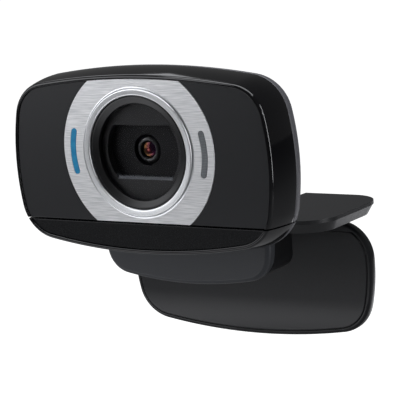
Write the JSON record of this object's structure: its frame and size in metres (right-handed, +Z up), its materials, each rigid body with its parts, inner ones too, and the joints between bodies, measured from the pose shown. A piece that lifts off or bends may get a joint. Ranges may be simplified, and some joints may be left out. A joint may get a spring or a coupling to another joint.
{
  "type": "webcam",
  "caption": "Folding clip webcam: a wide rounded head that swivels and tilts on a screen clip with a front lip, a bridge and a hinged rear flap, and a tripod thread under the clip.",
  "frame": {"origin": "centre of the tripod thread's mouth, on the underside of the clip's jaw block", "axes": "+Z up, -Y the way the lens looks, +X to the right of the picture when the face is seen from the front"},
  "size_m": [0.072, 0.0516, 0.0721],
  "materials": {
    "gloss_black": "polished moulded plastic",
    "satin_charcoal": "satin moulded plastic",
    "rear_grey": "fine spark-eroded texture",
    "brushed_aluminium": "horizontally brushed, clear anodised",
    "bright_ring": "satin bright plating",
    "lens_black": "fine matte black",
    "window_clear": "clear",
    "lens_glass": "coated",
    "blue_light": "translucent blue",
    "mic_grey": "matte",
    "clip_black": "satin moulded plastic",
    "lip_charcoal": "satin moulded plastic",
    "soft_black": "soft-touch skin",
    "pad_rubber": "matte rubber",
    "steel": "turned",
    "spring_steel": "spring temper",
    "screw_steel": "blackened",
    "brass": "turned",
    "board_green": "solder mask",
    "chip_black": "moulded package",
    "capsule_metal": "drawn can",
    "led_cream": "lamp package"
  },
  "bodies": {
    "clip": {"bridge_cover": "clip_black", "bridge_base": "clip_black", "bridge_pad": "pad_rubber", "bridge_screws": "screw_steel", "clip_lip": "lip_charcoal", "clip_block": "clip_black", "jaw_pad": "pad_rubber", "thread_insert": "brass", "tilt_pin": "steel", "tilt_washers": "spring_steel", "flap_pin": "steel"},
    "chin": {"swivel_post": "steel", "swivel_washer": "spring_steel", "swivel_clip": "spring_steel", "chin_shell": "gloss_black", "chin_panel": "satin_charcoal", "chin_rear": "rear_grey", "chin_frame": "clip_black"},
    "head": {"front_shell": "gloss_black", "rear_cover": "rear_grey", "face_panel": "satin_charcoal", "trim_plate": "brushed_aluminium", "light_bar": "blue_light", "mic_bar": "mic_grey", "lens_ring": "bright_ring", "lens_bezel": "lens_black", "cover_window": "window_clear", "lens_mask": "lens_black", "lens_baffle": "lens_black", "lens_holder": "lens_black", "image_sensor": "chip_black", "circuit_board": "board_green", "image_processor": "chip_black", "status_led": "led_cream", "microphone": "capsule_metal", "mic_boot": "pad_rubber", "board_screws": "screw_steel", "cover_screws": "screw_steel", "cable_grommet": "pad_rubber"},
    "lens_group": {"lens_carrier": "lens_black", "front_lens": "lens_glass"},
    "flap": {"flap_front": "soft_black", "flap_back": "clip_black", "flap_screws": "screw_steel"}
  },
  "joints": [
    {"name": "head_tilt", "type": "hinge", "parent": "clip", "child": "chin", "pos_m": [0, -0.0051, 0.0145], "axis": [1, 0, 0], "range_deg": [-90, 20]},
    {"name": "head_swivel", "type": "hinge", "parent": "chin", "child": "head", "pos_m": [0, -0.0157, 0.0184], "axis": [0, 0, 1], "range_deg": [-180, 180]},
    {"name": "flap_fold", "type": "hinge", "parent": "clip", "child": "flap", "pos_m": [0, 0.02175, 0.0107], "axis": [1, 0, 0], "range_deg": [-48, 90]},
    {"name": "focus_slide", "type": "slide", "parent": "head", "child": "lens_group", "axis": [0, -1, 0], "range_m": [0, 0.0003], "stiffness_N_per_m": 20}
  ]
}
